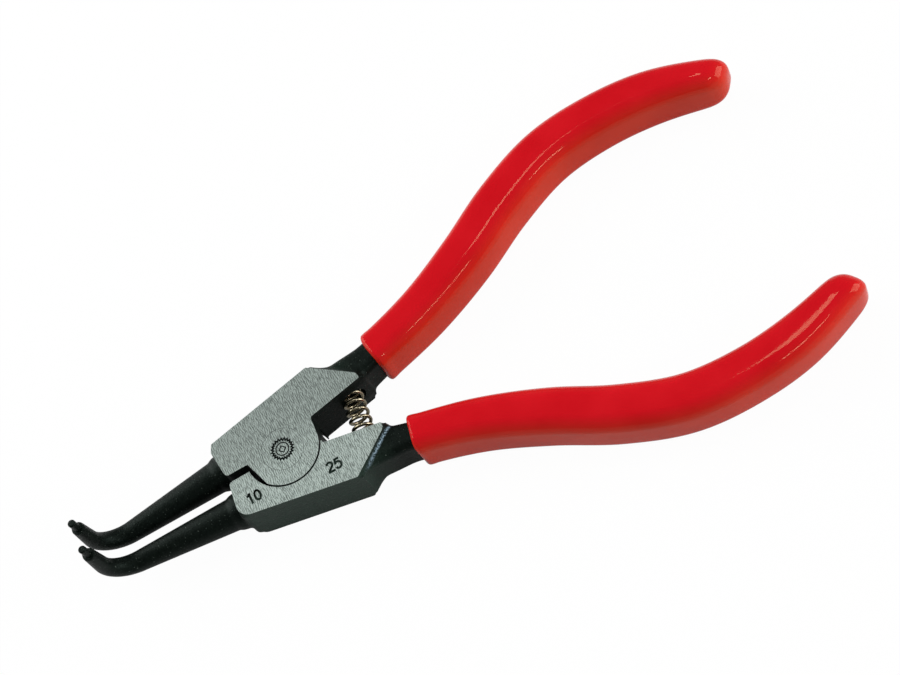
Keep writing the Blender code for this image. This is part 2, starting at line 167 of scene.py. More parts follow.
# Handles and sleeves
HANDLE_END_X = 0.0924
HANDLE_BOW_Y = 0.02665
HANDLE_HEIGHT = 0.0073
HANDLE_CORNER_RADIUS = 0.0014
NECK_LINE = (
    (0.0095, 0.0070, 0.0027),
    (0.0145, 0.0073, 0.0028),
    (0.0190, 0.0082, 0.0024),
)
BOW_LINE = (
    (0.149, 0.179, 0.0026),
    (0.285, 0.428, 0.0029),
    (0.420, 0.732, 0.0030),
    (0.556, 0.948, 0.00295),
    (0.693, 1.000, 0.0028),
    (0.829, 0.943, 0.0026),
    (1.000, 0.737, 0.00185),
)
NECK_END_X = 0.0215
GRIP_WALL = 0.00085
GRIP_FIT = 0.0002
GRIP_MOUTH_X = 0.0193
GRIP_MOUTH_SLANT = 7.5
GRIP_END_WALL = 0.0012
GRIP_END_ROUNDING = 0.0043
GRIP_END_FALL = 0.0065
GRIP_END_BLUNTNESS = 3.0
GRIP_END_SLANT = 20.0
GRIP_END_TURN = 0.0146
SLEEVE_MARGIN = 0.00002
SLEEVE_DOME = 0.00032
SLEEVE_DOME_REACH = 0.012
DOME_RISE = 0.5
DOME_UNDERSIDE = 0.3
NOSE_REACH = 0.016
NOSE_SHIFT_UPPER = (-0.0002, -0.0004)
NOSE_SHIFT_LOWER = (-0.0005, 0.0)

# The sleeve's mouth: a rounded lip with a soft bead behind it, and how far its edge wanders
LIP_ROUNDING = 0.0007
LIP_BEAD = 0.00012
LIP_BEAD_PLACE = 0.0011
LIP_BEAD_LENGTH = 0.0007
LIP_WAVE = 0.00012
LIP_WAVES = 3
LIP_WAVE_PHASE = 1.0
LIP_STATIONS = 14
LIP_LENGTH = 0.0028

# The bar inside the sleeve
CORE_START_X = 0.0203
CORE_SLACK = 0.00004

# Floor, and how far it glows white for the camera and in reflections, the rest being lit
FLOOR_REACH = 0.6
FLOOR_GAP = 0.0001
FLOOR_COLOUR = (0.85, 0.85, 0.85)
FLOOR_GLOW_SEEN = 0.97
FLOOR_GLOW_MIRRORED = 0.16

# Lamps: name, place, size and power, all aimed at one point, and the even light from all round
LAMP_TARGET = (0.03, 0, 0)
LAMPS = (
    ("key", (0.25, -0.36, 0.34), (0.16, 0.035), 0.4),
    ("top_box", (0.155, 0.12, 0.48), (0.095, 0.095), 0.3),
    ("end_box", (0.58, -0.16, 0.12), (0.4, 0.4), 3.2),
    ("softbox", (-0.42, 0.40, 0.32), (0.6, 0.6), 5.2),
)
WORLD_STRENGTH = 0.3

# Colours, each from its darkest shade to its palest
GROUND_SHADES = ((0.12, 0.147, 0.133), (0.42, 0.495, 0.457))
FORGED_SHADES = ((0.0006, 0.0012, 0.0009), (0.004, 0.0065, 0.005))
MILLED_SHADES = ((0.006, 0.013, 0.009), (0.024, 0.042, 0.032))
DUST_SHADES = ((0.05, 0.07, 0.06), (0.12, 0.14, 0.12))
# The pale blue-grey of the painted highlight at the foot of the lower plate's rear slope
FOOT_HIGHLIGHT_SHADES = ((0.02, 0.035, 0.045), (0.36, 0.5, 0.6))
SPRING_SHADES = ((0.16, 0.14, 0.085), (0.46, 0.41, 0.29))
RED_FLAT_SHADES = ((0.53, 0.003, 0.009), (0.59, 0.006, 0.013))
# Painted light: the red's steep sides, a little more orange
RED_STEEP_PAINTED_LIGHT_SHADES = ((0.46, 0.022, 0.008), (0.52, 0.029, 0.011))

# The part of a noise's range that most shades and measures are spread over
SOFT_START = 0.3
SOFT_END = 0.7

# The upper lever's ground face is darker than the lower one's: by how much, and over which stretch of Y
GROUND_DARKENING = 0.72
GROUND_DARKENING_Y = (-0.004, 0.004)

# Fineness
VOXEL = 0.0002
ROUND_STEPS = 96
ARC_STEP_DEGREES = 3.0
CORNER_STEPS = 8
DOME_STEPS = 6
LINE_STEPS = 24
BEND_STEPS = 16
COIL_STEPS = 40
GRIP_STATION_SPACING = 0.0009
END_STATIONS = 16
END_CLOSING_ANGLE = 86.0
SHARP_ANGLE = 32.0
MITRE_LIMIT = 0.5
WELD = 1e-6
GROUND_TOLERANCE = 10 * WELD
CELL_CORNERS = list(itertools.product((0, 1), repeat=3))

# Sizes that follow from those above
MIDDLE = JOINT_THICKNESS / 2
SHOULDER_Y = SHOULDER_GAP / 2
FACE_DEPTH = (JOINT_THICKNESS - HANDLE_HEIGHT) / 2
RECESS_RADIUS = LOBE_RADIUS + RECESS_CLEARANCE
SLEEVE_INSIDE = GRIP_FIT / 4
MOUTH_SLANT_REACH = 2 * HANDLE_HEIGHT
OUTSIDE = 2 * JOINT_THICKNESS


def arc(radius, start, end):
    """Points about the pivot from one angle to the other, in degrees."""
    steps = max(2, math.ceil(abs(end - start) / ARC_STEP_DEGREES))
    angles = [math.radians(start + (end - start) * i / steps) for i in range(steps + 1)]
    return [(radius * math.cos(a), radius * math.sin(a)) for a in angles]


def rounded_corner(before, corner, after, radius):
    """The points of a fillet where two straight edges meet."""
    corner = Vector(corner)
    to_before = (Vector(before) - corner).normalized()
    to_after = (Vector(after) - corner).normalized()
    half = to_before.angle(to_after) / 2
    centre = corner + (to_before + to_after).normalized() * radius / math.sin(half)
    first = corner + to_before * radius / math.tan(half) - centre
    last = corner + to_after * radius / math.tan(half) - centre
    sweep = first.angle_signed(last)
    points = []
    for i in range(CORNER_STEPS + 1):
        turn = Matrix.Rotation(-sweep * i / CORNER_STEPS, 2)
        points.append(tuple(centre + turn @ first))
    return points


def line_beside(start, end, distance):
    """The line through two points, moved to its right, as a point and a direction."""
    along = (Vector(end) - Vector(start)).normalized()
    return Vector(start) + Vector((along.y, -along.x)) * distance, along


def crossing(first, second):
    """Where two lines meet in plan."""
    (a, along_a), (b, along_b) = first, second
    gap = b - a
    reach = (gap.x * along_b.y - gap.y * along_b.x) / (along_a.x * along_b.y - along_a.y * along_b.x)
    return tuple(a + along_a * reach)


def inner_wall_y(x):
    """The inner wall behind the joint, a straight line in plan."""
    slope = (REAR_TIP_Y - INNER_WALL_Y) / (REAR_TIP_X - INNER_WALL_X)
    return INNER_WALL_Y + slope * (x - INNER_WALL_X)


def plate_outline(rounded_front, spread, front_radius):
    """Block and lobe of the upper lever, anticlockwise from the shoulder."""
    flank = (-LOBE_FLANK_X, SHOULDER_Y)
    front_low = (BLOCK_FRONT_X + FRONT_LEAN, SHOULDER_Y)
    front_high = (BLOCK_FRONT_X, BLOCK_FRONT_Y)
    corner = (REAR_CORNER_X, REAR_CORNER_Y)
    wall_start = (INNER_WALL_X, INNER_WALL_Y)
    wall_end = (REAR_TIP_X, REAR_TIP_Y)
    wall = line_beside(wall_start, wall_end, 0.0)
    end_face = line_beside(wall_end, corner, spread)
    rear_edge = line_beside(corner, (BLOCK_REAR_X, BLOCK_REAR_Y), spread)
    outer_side = line_beside((BLOCK_REAR_X, BLOCK_REAR_Y), front_high, 0.0)
    tip = crossing(wall, end_face)
    heel = crossing(rear_edge, outer_side)
    rear = rounded_corner(tip, crossing(end_face, rear_edge), heel, REAR_CORNER_RADIUS)
    if rounded_front:
        nose = rounded_corner(heel, front_high, front_low, front_radius)
    else:
        run = outer_side[1] * FRONT_CHAMFER / 2
        nose = [
            (BLOCK_FRONT_X - run.x, BLOCK_FRONT_Y - run.y),
            (BLOCK_FRONT_X, BLOCK_FRONT_Y - FRONT_CHAMFER),
        ]
    toe = rounded_corner(nose[-1], front_low, flank, FRONT_LEAN)
    lobe = arc(LOBE_RADIUS, LOBE_FLANK_END, LOBE_REAR_END)
    return [flank, *lobe, wall_start, tip, *rear, heel, *nose, *toe]


def recess_outline():
    """What the other lever's lobe needs of this one's lower half."""
    swept = arc(RECESS_RADIUS, RECESS_FRONT_ANGLE, RECESS_LIP_ANGLE)
    right = RECESS_RADIUS + SHOULDER_GAP
    return [
        *swept,
        (right, swept[-1][1]),
        (right, -right),
        (swept[0][0], -right),
    ]


def handle_curve():
    """Dense (x, y, half-width) points along the handle, and their distances along it."""
    neck_x, neck_y = NECK_LINE[-1][:2]
    bow = [
        (neck_x + (HANDLE_END_X - neck_x) * along, neck_y + (HANDLE_BOW_Y - neck_y) * out, half_width)
        for along, out, half_width in BOW_LINE
    ]
    knots = [Vector(row) for row in (*NECK_LINE, *bow)]
    times = [0.0]
    for a, b in zip(knots, knots[1:]):
        times.append(times[-1] + (b - a).length)
    last = len(knots) - 1
    slopes = []
    for i in range(len(knots)):
        low, high = max(i - 1, 0), min(i + 1, last)
        slopes.append((knots[high] - knots[low]) / (times[high] - times[low]))
    dense = []
    for i in range(last):
        span = times[i + 1] - times[i]
        for j in range(LINE_STEPS + (i == last - 1)):
            t = j / LINE_STEPS
            dense.append(
                knots[i] * (2 * t**3 - 3 * t**2 + 1)
                + slopes[i] * span * (t**3 - 2 * t**2 + t)
                + knots[i + 1] * (3 * t**2 - 2 * t**3)
                + slopes[i + 1] * span * (t**3 - t**2)
            )
    along = [0.0]
    for a, b in zip(dense, dense[1:]):
        along.append(along[-1] + (b.xy - a.xy).length)
    return dense, along


HANDLE_DENSE, HANDLE_ALONG = handle_curve()
HANDLE_COLUMNS = list(zip(*HANDLE_DENSE))


def distance_at_x(x):
    """How far along the handle its centre line reaches this x."""
    return float(np.interp(x, HANDLE_COLUMNS[0], HANDLE_ALONG))


def handle_point(distance):
    """x, y and half-width at a distance along the handle."""
    return np.array([np.interp(distance, HANDLE_ALONG, column) for column in HANDLE_COLUMNS])


def handle_place(distance):
    """Centre, direction out of the bow and half-width at a distance along the handle."""
    place = Vector(handle_point(distance))
    step = GRIP_STATION_SPACING
    ahead = Vector((handle_point(distance + step) - handle_point(distance - step))[:2]).normalized()
    return place.xy, Vector((-ahead.y, ahead.x)), place.z


# What turns the upper lever's shapes into the lower one's
HALF_TURN = (
    Matrix.Translation((0, 0, MIDDLE))
    @ Matrix.Rotation(math.pi, 4, "X")
    @ Matrix.Translation((0, 0, -MIDDLE))
)


# Distance fields of the forging, negative inside


def polygon_distance(x, y, outline):
    """Plan distance to a closed outline."""
    nearest = np.full(x.shape, np.inf)
    inside = np.zeros(x.shape, bool)
    for (ax, ay), (bx, by) in zip(outline, outline[1:] + outline[:1]):
        ex, ey = bx - ax, by - ay
        px, py = x - ax, y - ay
        part = np.clip((px * ex + py * ey) / (ex * ex + ey * ey), 0, 1)
        nearest = np.minimum(nearest, (px - part * ex) ** 2 + (py - part * ey) ** 2)
        if ey:
            inside ^= ((ay > y) != (by > y)) & (px < py * ex / ey)
    distance = np.sqrt(nearest)
    return np.where(inside, -distance, distance)


def block_distance(x, y, z, rounded_front):
    """Joint block and lobe, narrower at the ground faces than between them, and open at both faces."""
    face = polygon_distance(x, y, plate_outline(rounded_front, 0.0, FRONT_FACE_RADIUS))
    forging = polygon_distance(x, y, plate_outline(rounded_front, REAR_SPREAD, FRONT_CORNER_RADIUS))
    depth = np.minimum(z, JOINT_THICKNESS - z)
    share = np.clip(depth / FACE_DEPTH, -1, 1)
    side = face + (forging - face) * share
    return np.maximum(side, np.abs(z - MIDDLE) - MIDDLE - FACE_DEPTH)


def bar_distance(x, y, z):
    """The neck: a rounded rectangle swept along the handle's line, cut off behind the sleeve's mouth."""
    dense = [point for point in HANDLE_DENSE if point.x < NECK_END_X + HANDLE_HEIGHT]
    nearest = np.full(x.shape, np.inf)
    half_width = np.zeros(x.shape)
    for a, b in zip(dense, dense[1:]):
        ex, ey = b.x - a.x, b.y - a.y
        part = np.clip(((x - a.x) * ex + (y - a.y) * ey) / (ex * ex + ey * ey), 0, 1)
        gap = (x - a.x - part * ex) ** 2 + (y - a.y - part * ey) ** 2
        nearer = gap < nearest
        nearest = np.where(nearer, gap, nearest)
        half_width = np.where(nearer, a.z + (b.z - a.z) * part, half_width)
    across = np.sqrt(nearest) - (half_width - HANDLE_CORNER_RADIUS)
    up = np.abs(z - MIDDLE) - (HANDLE_HEIGHT / 2 - HANDLE_CORNER_RADIUS)
    outside = np.hypot(np.maximum(across, 0), np.maximum(up, 0))
    bar = outside + np.minimum(np.maximum(across, up), 0) - HANDLE_CORNER_RADIUS
    return np.maximum(bar, x - NECK_END_X)


def jaw_line(side):
    """The jaw's centre line and radii in world space, from inside the block to the shank's top."""
    tip_y = side * TIP_SPACING / 2
    bend_y = side * JAW_BEND_Y
    root = Vector((BLOCK_FRONT_X, side * JAW_ROOT_Y, MIDDLE))
    bend = Vector((JAW_BEND_X, bend_y, MIDDLE))
    root_radius = JAW_ROOT_DIAMETER / 2
    bend_radius = JAW_BEND_DIAMETER / 2
    shank_radius = SHANK_TOP_DIAMETER / 2
    points = [root + Vector((JAW_ROOT_BURY, 0, 0)), root]
    radii = [root_radius + JAW_ROOT_FLARE] * 2
    points.append(root.lerp(bend, JAW_FLARE_LENGTH / (bend - root).length))
    radii.append(root_radius)
    arc_length = JAW_BEND_RADIUS * math.pi / 2
    for i in range(BEND_STEPS + 1):
        a = math.pi / 2 * i / BEND_STEPS
        along = arc_length * i / BEND_STEPS / (arc_length + SHANK_HEIGHT)
        x = JAW_BEND_X - JAW_BEND_RADIUS * math.sin(a)
        z = MIDDLE + JAW_BEND_RADIUS * (1 - math.cos(a))
        y = bend_y + (tip_y - bend_y) * i / BEND_STEPS
        points.append(Vector((x, y, z)))
        radii.append(bend_radius + (shank_radius - bend_radius) * along)
    points.append(points[-1] + Vector((0, 0, SHANK_HEIGHT)))
    radii.append(shank_radius)
    return points, radii


def jaw_distance(x, y, z, side):
    """The jaw in the upper lever's frame: a chain of tapered round bars, cut flat at the shank's top."""
    points, radii = jaw_line(side)
    if side < 0:
        points = [Vector((point.x, -point.y, JOINT_THICKNESS - point.z)) for point in points]
    distance = np.full(np.broadcast(x, y, z).shape, np.inf)
    for a, b, radius_a, radius_b in zip(points, points[1:], radii, radii[1:]):
        e = b - a
        px, py, pz = x - a.x, y - a.y, z - a.z
        part = np.clip((px * e.x + py * e.y + pz * e.z) / e.length_squared, 0, 1)
        gap = (px - part * e.x) ** 2 + (py - part * e.y) ** 2 + (pz - part * e.z) ** 2
        distance = np.minimum(distance, np.sqrt(gap) - (radius_a + (radius_b - radius_a) * part))
    beyond = (z - points[-1].z) if side > 0 else (points[-1].z - z)
    return np.maximum(distance, beyond)


def merged(a, b, fillet):
    """Union of two distance fields with a concave fillet between them."""
    overlap = np.maximum(fillet - np.abs(a - b), 0) / fillet
    return np.minimum(a, b) - overlap * overlap * fillet / 4


def skin_points(values, cells, low):
    """A point in each cell, at the mean of the places where the surface crosses the cell's edges."""
    total = np.zeros((len(cells), 3))
    crossings = np.zeros(len(cells))
    for step in CELL_CORNERS:
        for axis in range(3):
            if step[axis]:
                continue
            near = cells + step
            far = near.copy()
            far[:, axis] += 1
            value_near = values[tuple(near.T)]
            value_far = values[tuple(far.T)]
            cut = (value_near < 0) != (value_far < 0)
            gap = np.where(cut, value_near - value_far, 1.0)
            place = near.astype(float)
            place[:, axis] += value_near / gap
            total += place * cut[:, None]
            crossings += cut
    return np.array(low) + total / crossings[:, None] * VOXEL


def skin_faces(inside, number):
    """A square through the points of the four cells round each edge that the surface crosses."""
    faces = []
    for axis in range(3):
        u, v = (axis + 1) % 3, (axis + 2) % 3
        near = inside[tuple(slice(0, -1) if a == axis else slice(1, -1) for a in range(3))]
        far = inside[tuple(slice(1, None) if a == axis else slice(1, -1) for a in range(3))]
        edges = np.argwhere(near != far)
        out = near[tuple(edges.T)]
        corners = []
        for step_u, step_v in ((0, 0), (1, 0), (1, 1), (0, 1)):
            cell = edges.copy()
            cell[:, u] += step_u
            cell[:, v] += step_v
            corners.append(number[tuple(cell.T)])
        quads = np.stack(corners, 1)
        faces.append(np.where(out[:, None], quads, quads[:, ::-1]))
    return np.concatenate(faces)


def skin(values, low):
    """A closed mesh of squares where the sampled field crosses zero, as points and faces."""
    inside = values < 0
    size = np.array(values.shape)
    count = np.zeros(size - 1, np.int8)
    for step in CELL_CORNERS:
        count += inside[tuple(slice(s, n - 1 + s) for s, n in zip(step, size))]
    cells = np.argwhere((count > 0) & (count < len(CELL_CORNERS)))
    number = np.full(size - 1, -1, np.int64)
    number[tuple(cells.T)] = np.arange(len(cells))
    return skin_points(values, cells, low), skin_faces(inside, number)


def forging_mesh(name, side):
    """Block, neck and jaw of one lever in the upper lever's frame, with forged fillets between them."""
    tip_height = MIDDLE + JAW_BEND_RADIUS + SHANK_HEIGHT
    high_z = tip_height if side > 0 else JOINT_THICKNESS + FACE_DEPTH
    low_z = -FACE_DEPTH if side > 0 else JOINT_THICKNESS - tip_height
    jaw_reach = JAW_BEND_X - JAW_BEND_RADIUS - JAW_BEND_DIAMETER / 2
    margin = 4 * VOXEL
    low = (jaw_reach - margin, -LOBE_RADIUS - margin, low_z - margin)
    high = (NECK_END_X + margin, BLOCK_REAR_Y + 2 * REAR_SPREAD + margin, high_z + margin)
    axes = [np.arange(a, b + VOXEL, VOXEL) for a, b in zip(low, high)]
    x, y, z = np.meshgrid(*axes, indexing="ij", sparse=True)
    plan_x, plan_y = np.broadcast_arrays(x, y)
    block = block_distance(plan_x, plan_y, z, side < 0)
    bar = bar_distance(plan_x, plan_y, z)
    jaw = jaw_distance(x, y, z, side)
    values = merged(merged(block, bar, NECK_FILLET), jaw, JAW_FILLET)
    points, faces = skin(values, low)
    mesh = bpy.data.meshes.new(name)
    mesh.from_pydata(points.tolist(), [], faces.tolist())
    mesh.update()
    return mesh


# Solids for the machining and for the other pieces


def loft(name, rings, closed_ends=True):
    """A skin over the rings, which all have as many points."""
    bm = bmesh.new()
    rows = [[bm.verts.new(point) for point in ring] for ring in rings]
    count = len(rows[0])
    for near, far in zip(rows, rows[1:]):
        for i in range(count):
            j = (i + 1) % count
            bm.faces.new((near[i], near[j], far[j], far[i]))
    if closed_ends:
        bm.faces.new(rows[0])
        bm.faces.new(rows[-1])
    bmesh.ops.recalc_face_normals(bm, faces=bm.faces)
    mesh = bpy.data.meshes.new(name)
    bm.to_mesh(mesh)
    bm.free()
    return mesh


def prism(name, outline, low, high):
    """A flat outline from one height to another."""
    return loft(name, [[Vector((x, y, height)) for x, y in outline] for height in (low, high)])


def turned(name, profile):
    """A profile of (radius, height) points turned about Z, with flat ends."""
    turns = [2 * math.pi * i / ROUND_STEPS for i in range(ROUND_STEPS)]
    rings = [[(r * math.cos(a), r * math.sin(a), height) for a in turns] for r, height in profile]
    return loft(name, rings)


def add_object(name, mesh):
    """An object of this mesh or curve in the scene."""
    obj = bpy.data.objects.new(name, mesh)
    bpy.context.scene.collection.objects.link(obj)
    return obj


def evaluated_mesh(obj):
    """The mesh that an object's modifiers or its curve come to."""
    bpy.context.view_layer.update()
    graph = bpy.context.evaluated_depsgraph_get()
    return bpy.data.meshes.new_from_object(obj.evaluated_get(graph))


def worked(obj, steps):
    """Runs exact Booleans on the object in their order and keeps the result as its mesh."""
    helpers = []
    for operation, mesh in steps:
        helper = add_object(mesh.name, mesh)
        helpers.append(helper)
        modifier = obj.modifiers.new(mesh.name, "BOOLEAN")
        modifier.operation = operation
        modifier.solver = "EXACT"
        modifier.object = helper
    result = evaluated_mesh(obj)
    obj.modifiers.clear()
    obj.data = result
    result.name = obj.name
    for helper in helpers:
        bpy.data.objects.remove(helper, do_unlink=True)
    return obj


def section(half_width, half_height, corner, dome, side):
    """A rounded rectangle with a domed top and a flatter underside, as (across, up) points."""
    corner = min(corner, half_width - WELD, half_height - WELD)
    points = []
    for quarter in range(4):
        sign_across = (1, -1, -1, 1)[quarter]
        sign_up = (1, 1, -1, -1)[quarter]
        for i in range(CORNER_STEPS + 1):
            a = math.radians(90 * (quarter + i / CORNER_STEPS))
            across = sign_across * (half_width - corner) + corner * math.cos(a)
            up = sign_up * (half_height - corner) + corner * math.sin(a)
            points.append((across, up))
        if quarter in (0, 2):
            flat = sign_across * (half_width - corner)
            for i in range(1, DOME_STEPS):
                points.append((flat * (1 - 2 * i / DOME_STEPS), sign_up * half_height))
    domed = []
    for across, up in points:
        edge = (across / half_width) ** 2
        rise = DOME_RISE - edge if up * side > 0 else DOME_UNDERSIDE * edge
        domed.append((across, up + side * dome * rise))
    return domed


def drawn_in(to_end, reach):
    """The share of a section's size that is left this far before the handle's rounded end."""
    return max(0.0, 1 - max(0.0, 1 - to_end / reach) ** GRIP_END_BLUNTNESS) ** (1 / GRIP_END_BLUNTNESS)


def grown_at_mouth(distance, grow):
    """How far the sleeve stands off the bar this far behind its edge."""
    rise = min(1.0, distance / LIP_ROUNDING)
    lip = math.sqrt(1 - (1 - rise) ** 2)
    bead = LIP_BEAD * math.exp(-(((distance - LIP_BEAD_PLACE) / LIP_BEAD_LENGTH) ** 2))
    return SLEEVE_INSIDE + (grow - SLEEVE_INSIDE + bead) * lip


def handle_stations(start, body_end, end, lip):
    """Where along the handle its sections lie, closer together at a lip and at the rounded end."""
    body_start = start + (LIP_LENGTH if lip else 0.0)
    count = round((body_end - body_start) / GRIP_STATION_SPACING)
    stations = [body_start + (body_end - body_start) * i / count for i in range(count + 1)]
    if lip:
        stations = [start + LIP_LENGTH * (i / LIP_STATIONS) ** 2 for i in range(LIP_STATIONS)] + stations
    for i in range(1, END_STATIONS + 1):
        a = math.radians(END_CLOSING_ANGLE * i / END_STATIONS)
        stations.append(body_end + (end - body_end) * math.sin(a))
    return stations


def handle_rings(start, end, grow, side, slant=0.0, lip=False):
    """Sections square to the handle's centre line, drawn in over the rounded end."""
    mouth = distance_at_x(GRIP_MOUTH_X)
    rounding = GRIP_END_ROUNDING - GRIP_WALL - GRIP_FIT + grow
    fall = GRIP_END_FALL - GRIP_WALL - GRIP_FIT + grow
    rings = []
    for distance in handle_stations(start, end - max(rounding, fall), end, lip):
        centre, outward, half_width = handle_place(distance)
        turn = slant * max(0.0, 1 - (distance - start) / MOUTH_SLANT_REACH)
        turn += GRIP_END_SLANT * max(0.0, 1 - (end - distance) / GRIP_END_TURN)
        outward = Matrix.Rotation(-math.radians(turn), 2) @ outward
        ahead = Vector((outward.y, -outward.x))
        grown = grown_at_mouth(distance - start, grow) if lip else grow
        wide = (half_width + grown) * drawn_in(end - distance, rounding)
        tall = (HANDLE_HEIGHT / 2 + min(grown, grow)) * drawn_in(end - distance, fall)
        corner = (HANDLE_CORNER_RADIUS + grown) * drawn_in(end - distance, fall)
        wave = LIP_WAVE * max(0.0, 1 - (distance - start) / LIP_LENGTH) if slant else 0.0
        dome = SLEEVE_DOME * min(1.0, max(0.0, distance - mouth) / SLEEVE_DOME_REACH)
        ring = []
        for across, up in section(wide, tall, corner, dome * tall / (HANDLE_HEIGHT / 2 + grow), side):
            along = wave * math.sin(LIP_WAVES * math.atan2(up, across) + LIP_WAVE_PHASE)
            point = centre + outward * across + ahead * along
            ring.append(Vector((point.x, point.y, MIDDLE + up)))
        rings.append(ring)
    return rings


def with_shifted_nose(mesh, side):
    """The dipped ends aren't quite alike: moves the handle's end a little, the more the nearer to it."""
    shift_x, shift_y = NOSE_SHIFT_UPPER if side > 0 else NOSE_SHIFT_LOWER
    for vertex in mesh.vertices:
        share = max(0.0, 1 - (HANDLE_END_X - vertex.co.x) / NOSE_REACH) ** 2
        vertex.co.x += shift_x * share
        vertex.co.y += shift_y * share
    return mesh


def spring_end(side):
    """Where the spring's axis crosses a lever's inner wall, as x and the distance from the middle line."""
    x = SPRING_X + side * SPRING_CANT
    return x, inner_wall_y(x)


def spring_pocket(name, side):
    """The blind hole in the inner wall that holds the spring's end."""
    radius = SPRING_DIAMETER / 2 + POCKET_CLEARANCE
    x, wall_y = spring_end(side)
    mesh = turned(name, [(radius, POCKET_DEPTH), (radius, -SPRING_DIAMETER)])
    turn = Matrix.Rotation(-math.pi / 2, 4, "X")
    mesh.transform(Matrix.Translation((x, wall_y, MIDDLE)) @ turn)
    return mesh


def rivet_profile(clearance, reach):
    """Half of the rivet's section from the top down, grown by a clearance."""
    head = RIVET_HEAD_DIAMETER / 2 + clearance
    shank = RIVET_SHANK_DIAMETER / 2 + clearance
    top = JOINT_THICKNESS + reach
    rim = RIVET_HEAD_RIM
    cone = rim + RIVET_CONE_HEIGHT
    return [
        (head, top),
        (head, JOINT_THICKNESS - rim),
        (shank, JOINT_THICKNESS - cone),
        (shank, cone),
        (head, rim),
        (head, -reach),
    ]


def grinding_wheel(name, low, high):
    """What grinding takes off one face of the block."""
    front = BLOCK_FRONT_X - 2 * JAW_FLARE_LENGTH
    rear = NECK_END_X + FACE_DEPTH
    return prism(name, [(front, -OUTSIDE), (rear, -OUTSIDE), (rear, OUTSIDE), (front, OUTSIDE)], low, high)


def pin_mesh(name, side):
    """The turned pin, sunk into the shank's top."""
    top = jaw_line(side)[0][-1]
    radius = PIN_DIAMETER / 2
    profile = [
        (radius - PIN_CHAMFER, PIN_LENGTH),
        (radius, PIN_LENGTH - PIN_CHAMFER),
        (radius, -PIN_BURY),
    ]
    mesh = turned(name, profile)
    mesh.transform(Matrix.Translation(top))
    return mesh


def welded(mesh):
    """Joins points that lie in one place, such as those of a curve's caps and its sides."""
    bm = bmesh.new()
    bm.from_mesh(mesh)
    bmesh.ops.remove_doubles(bm, verts=bm.verts, dist=WELD)
    bmesh.ops.recalc_face_normals(bm, faces=bm.faces)
    bm.to_mesh(mesh)
    bm.free()
    return mesh


def ellipse_arc(middle, radii, start, end):
    """Points of part of an ellipse, in degrees."""
    points = []
    for i in range(NUMBER_STROKE_STEPS + 1):
        a = math.radians(start + (end - start) * i / NUMBER_STROKE_STEPS)
        points.append((middle[0] + radii[0] * math.cos(a), middle[1] + radii[1] * math.sin(a)))
    return points


def digit_strokes(digit):
    """The strokes of 0, 1, 2 or 5 as (x, y) points, in shares of its height, about its middle."""
    if digit == "0":
        return [ellipse_arc((0, 0), (0.24, 0.42), 90, 450)]
    if digit == "1":
        return [[(0.06, -0.5), (0.06, 0.5)], [(-0.2, 0.24), (-0.04, 0.32), (0.05, 0.44)]]
    if digit == "2":
        hook = ellipse_arc((0.0, 0.19), (0.235, 0.23), 170, -35)
        return [[*hook, (-0.2, -0.32), (-0.24, -0.40)], [(-0.31, -0.41), (0.28, -0.41)]]
    bowl = ellipse_arc((-0.01, -0.13), (0.26, 0.29), 140, -155)
    return [bowl, [(-0.13, 0.48), (-0.2, -0.02)], [(-0.2, 0.41), (0.23, 0.41)]]


def wire_mesh(name, points, radius):
    """A round wire along the points as a closed mesh."""
    curve = bpy.data.curves.new(name, "CURVE")
    curve.dimensions = "3D"
    curve.bevel_depth = radius
    curve.bevel_resolution = SPRING_BEVEL
    curve.use_fill_caps = True
    spline = curve.splines.new("POLY")
    spline.points.add(len(points) - 1)
    for point, place in zip(spline.points, points):
        point.co = (*place, 1)
    obj = add_object(name, curve)
    mesh = evaluated_mesh(obj)
    bpy.data.objects.remove(obj, do_unlink=True)
    return welded(mesh)


def beside(points, distance, closed):
    """The line moved to its right, with mitred corners."""
    places = [Vector(point) for point in points]
    edges = [(b - a).normalized() for a, b in zip(places, places[1:])]
    moved = []
    for i, place in enumerate(places):
        before = edges[i - 1] if i or closed else edges[0]
        after = edges[i] if i < len(edges) else edges[0 if closed else -1]
        normal = Vector((before.y + after.y, -before.x - after.x)).normalized()
        share = max(MITRE_LIMIT, normal.dot(Vector((after.y, -after.x))))
        moved.append(tuple(place + normal * distance / share))
    return moved


def stroke_mesh(name, points, width, depth):
    """An open or closed stroke as a flat plate through the upper ground face, to cut with."""
    closed = (Vector(points[0]) - Vector(points[-1])).length < WELD
    right = beside(points, width / 2, closed)
    left = beside(points, -width / 2, closed)
    low, high = JOINT_THICKNESS - depth, JOINT_THICKNESS + depth
    rings = []
    for a, b in zip(right, left):
        rings.append([Vector((*a, low)), Vector((*b, low)), Vector((*b, high)), Vector((*a, high))])
    if closed:
        rings[-1] = rings[0]
    return welded(loft(name, rings, not closed))


def number_mesh(text, middle):
    """The number's strokes joined to one stamp, at the upper ground face."""
    strokes = []
    for i, digit in enumerate(text):
        x = middle[0] + (i - (len(text) - 1) / 2) * NUMBER_SPACING
        for stroke in digit_strokes(digit):
            points = [(x + u * NUMBER_HEIGHT, middle[1] + v * NUMBER_HEIGHT) for u, v in stroke]
            strokes.append(stroke_mesh(f"number_{text}", points, NUMBER_STROKE, NUMBER_DEPTH))
    stamp = worked(add_object(f"number_{text}", strokes[0]), [("UNION", mesh) for mesh in strokes[1:]])
    mesh = stamp.data
    bpy.data.objects.remove(stamp, do_unlink=True)
    return mesh


def smooth_by_angle(obj):
    """Shades the object smooth, with sharp edges left sharp."""
    obj.data.shade_smooth()
    obj.data.set_sharp_from_angle(angle=math.radians(SHARP_ANGLE))


def core_mesh(name, side):
    """The bar inside the sleeve, a little thinner than the neck that it joins."""
    start = distance_at_x(CORE_START_X)
    end = distance_at_x(HANDLE_END_X) - GRIP_END_WALL - GRIP_FIT
    return with_shifted_nose(loft(name, handle_rings(start, end, -CORE_SLACK, side)), side)


